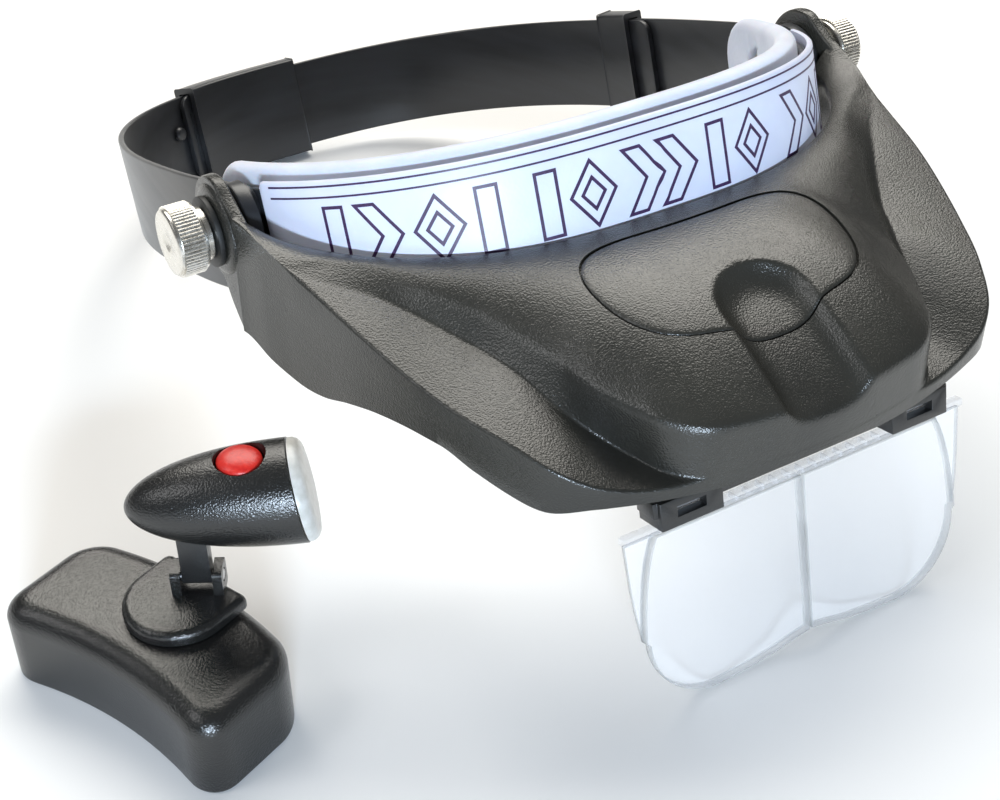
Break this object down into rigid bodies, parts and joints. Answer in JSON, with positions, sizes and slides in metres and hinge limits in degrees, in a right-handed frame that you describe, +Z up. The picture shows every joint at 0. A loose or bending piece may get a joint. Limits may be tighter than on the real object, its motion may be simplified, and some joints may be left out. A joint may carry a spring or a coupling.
{
  "type": "head visor magnifier",
  "caption": "Headband with a tilting visor that carries a clear magnifying lens plate in front of the eyes, and a separate battery lamp with a swivelling head.",
  "frame": {"origin": "middle of the footprint, on the surface the object stands on", "axes": "+Z up, -Y the way the visor faces, +X to the wearer's left; the band stands on its rear sleeve and its lenses, with the lamp beside it"},
  "size_m": [0.2442, 0.2706, 0.0978],
  "materials": {
    "black_abs": "fine matte grain",
    "black_strap": "smooth semi-gloss",
    "black_washer": "matte",
    "white_vinyl": "printed soft vinyl",
    "grey_foam": "matte foam",
    "nickel": "nickel plated, knurled rim",
    "steel": "plain",
    "reflector_chrome": "polished",
    "clear_acrylic": "clear polished acrylic",
    "battery_wrap": "gloss wrap",
    "circuit_board": "solder mask",
    "red_button": "satin"
  },
  "bodies": {
    "headband": {"front_band": "black_strap", "left_arm": "black_strap", "right_arm": "black_strap", "rear_strap": "black_strap", "forehead_foam": "grey_foam", "pad_cover": "white_vinyl", "strap_peg": "black_strap", "left_friction_washer": "black_washer", "right_friction_washer": "black_washer", "left_pivot_nut": "steel", "right_pivot_nut": "steel"},
    "sleeve": {"strap_sleeve": "black_strap"},
    "keeper": {"keeper_loop": "black_strap"},
    "visor": {"visor_shell": "black_abs", "lens_carrier": "black_abs", "left_carrier_screw": "steel", "right_carrier_screw": "steel"},
    "cover": {"front_cover": "black_abs"},
    "lens_plate": {"left_lens": "clear_acrylic", "right_lens": "clear_acrylic", "lens_rail": "clear_acrylic"},
    "left_washer": {"left_clamp_washer": "black_washer"},
    "left_knob": {"left_thumb_knob": "nickel", "left_clamp_stud": "steel"},
    "right_washer": {"right_clamp_washer": "black_washer"},
    "right_knob": {"right_thumb_knob": "nickel", "right_clamp_stud": "steel"},
    "lamp_base": {"lamp_base": "black_abs", "lamp_pedestal": "black_abs", "clevis_pin": "steel", "battery_1": "battery_wrap", "battery_2": "battery_wrap", "contact_spring_1": "steel", "contact_spring_2": "steel", "spring_contact": "steel", "cap_contact": "steel"},
    "battery_door": {"battery_door": "black_abs"},
    "lamp_stem": {"lamp_stem": "black_abs"},
    "lamp_head": {"lamp_head": "black_abs", "lamp_lens": "clear_acrylic", "lamp_reflector": "reflector_chrome", "led": "clear_acrylic", "led_board": "circuit_board", "switch_body": "circuit_board"},
    "lamp_button": {"lamp_button": "red_button"}
  },
  "joints": [
    {"name": "visor_tilt", "type": "hinge", "parent": "headband", "child": "visor", "pos_m": [0.02831, -0.02153, 0.07203], "axis": [1, 0, 0], "range_deg": [-60, 0]},
    {"name": "sleeve_slide", "type": "hinge", "parent": "headband", "child": "sleeve", "pos_m": [0.02183, 0.06584, 0.03658], "axis": [0, 0.3304, 0.9439], "range_deg": [-1.5, 1.5]},
    {"name": "keeper_slide", "type": "hinge", "parent": "headband", "child": "keeper", "pos_m": [-0.09269, 0.02679, 0.05024], "axis": [0, 0.3304, 0.9439], "range_deg": [-1.5, 1.5]},
    {"name": "cover_lift", "type": "slide", "parent": "visor", "child": "cover", "axis": [0, 0, 1], "range_m": [0, 0.012]},
    {"name": "lens_plate_drop", "type": "slide", "parent": "visor", "child": "lens_plate", "axis": [0, -0.2341, -0.9722], "range_m": [0, 0.012]},
    {"name": "left_clamp_travel", "type": "slide", "parent": "headband", "child": "left_washer", "axis": [-1, 0, 0], "range_m": [0, 0.0008]},
    {"name": "left_clamp_turn", "type": "hinge", "parent": "left_washer", "child": "left_knob", "pos_m": [0.02831, -0.02153, 0.07203], "axis": [-1, 0, 0], "range_deg": [0, 360]},
    {"name": "right_clamp_travel", "type": "slide", "parent": "headband", "child": "right_washer", "axis": [1, 0, 0], "range_m": [0, 0.0008]},
    {"name": "right_clamp_turn", "type": "hinge", "parent": "right_washer", "child": "right_knob", "pos_m": [0.02831, -0.02153, 0.07203], "axis": [1, 0, 0], "range_deg": [0, 360]},
    {"name": "lamp_pickup", "type": "slide", "parent": "headband", "child": "lamp_base", "axis": [0, 0, 1], "range_m": [0, 0.12]},
    {"name": "battery_door_drop", "type": "slide", "parent": "lamp_base", "child": "battery_door", "axis": [0, 0, -1], "range_m": [0, 0.012]},
    {"name": "stem_tilt", "type": "hinge", "parent": "lamp_base", "child": "lamp_stem", "pos_m": [-0.08604, -0.0741, 0.0268], "axis": [0.866, -0.5, 0], "range_deg": [-25, 25]},
    {"name": "head_swivel", "type": "hinge", "parent": "lamp_stem", "child": "lamp_head", "pos_m": [-0.08604, -0.0741, 0.0466], "axis": [0, 0, 1], "range_deg": [-100, 100]},
    {"name": "button_press", "type": "slide", "parent": "lamp_head", "child": "lamp_button", "axis": [0, 0, -1], "range_m": [0, 0.001], "stiffness_N_per_m": 600, "springref_m": -0.0008}
  ],
  "couplings": [
    {"joint": "left_clamp_travel", "follows": "left_clamp_turn", "m_per_rad": 0.00012732},
    {"joint": "right_clamp_travel", "follows": "right_clamp_turn", "m_per_rad": 0.00012732}
  ]
}
